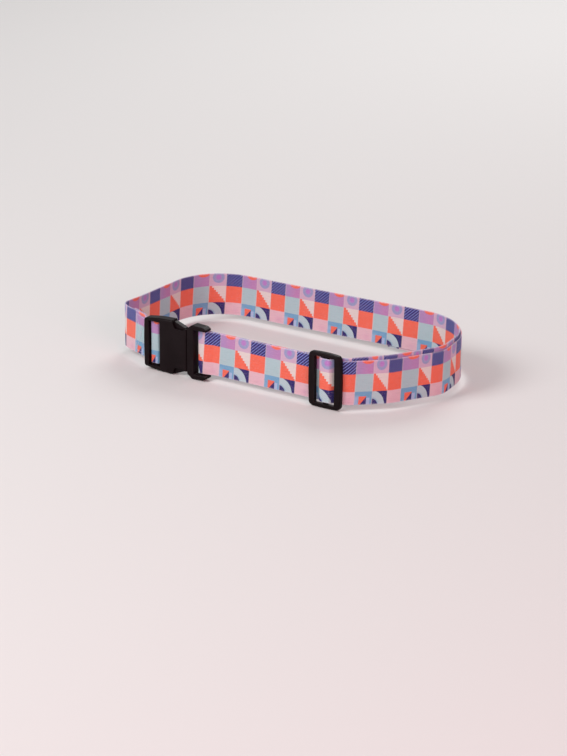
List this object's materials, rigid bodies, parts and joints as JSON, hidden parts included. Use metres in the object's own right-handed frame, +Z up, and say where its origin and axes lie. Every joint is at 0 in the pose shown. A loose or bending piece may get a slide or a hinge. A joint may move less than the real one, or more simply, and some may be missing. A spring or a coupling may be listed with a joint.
{
  "type": "luggage strap",
  "caption": "Wide webbing strap that girths a suitcase, closed by a side release buckle and held by a sliding centre-bar adjuster with a folded, stitched tail.",
  "frame": {"origin": "middle of the loop that the case fills, half way up the webbing's width", "axes": "+Z up, along the case's height and across the webbing's width; +X along the front run from the buckle to the slider; -Y is the front, where the buckle is"},
  "size_m": [0.3832, 0.2042, 0.063],
  "materials": {
    "printed_webbing": "woven polyester with a heat-transfer print of small coloured cells",
    "moulded_plastic": "black moulded acetal, slightly glossy",
    "sewing_thread": "pale polyester thread"
  },
  "bodies": {
    "strap": {"female_shell": "moulded_plastic", "girth_webbing": "printed_webbing", "inner_run_webbing": "printed_webbing", "outer_run_webbing_buckle_side": "printed_webbing", "outer_run_webbing_slider_side": "printed_webbing", "tail_lead_webbing": "printed_webbing", "tail_webbing": "printed_webbing", "sewn_loop_stitching": "sewing_thread", "tail_hem_stitching": "sewing_thread"},
    "male_half": {"male_base": "moulded_plastic", "male_loop_webbing": "printed_webbing"},
    "upper_arm": {"upper_latch_arm": "moulded_plastic"},
    "lower_arm": {"lower_latch_arm": "moulded_plastic"},
    "slider": {"slider_frame": "moulded_plastic", "slider_loop_webbing": "printed_webbing"}
  },
  "joints": [
    {"name": "buckle_release", "type": "slide", "parent": "strap", "child": "male_half", "axis": [1, 0, 0], "range_m": [0, 0.036], "deforming": ["inner_run_webbing", "outer_run_webbing_buckle_side", "upper_latch_arm", "lower_latch_arm"]},
    {"name": "upper_arm_squeeze", "type": "hinge", "parent": "male_half", "child": "upper_arm", "pos_m": [-0.0742, -0.1005, 0.017], "axis": [0, -1, 0], "range_deg": [0, 21], "stiffness_Nm_per_rad": 0.25},
    {"name": "lower_arm_squeeze", "type": "hinge", "parent": "male_half", "child": "lower_arm", "pos_m": [-0.0742, -0.1005, -0.017], "axis": [0, 1, 0], "range_deg": [0, 21], "stiffness_Nm_per_rad": 0.25},
    {"name": "slider_travel", "type": "slide", "parent": "strap", "child": "slider", "axis": [1, 0, 0], "range_m": [-0.03, 0], "deforming": ["outer_run_webbing_slider_side", "tail_lead_webbing"]}
  ]
}
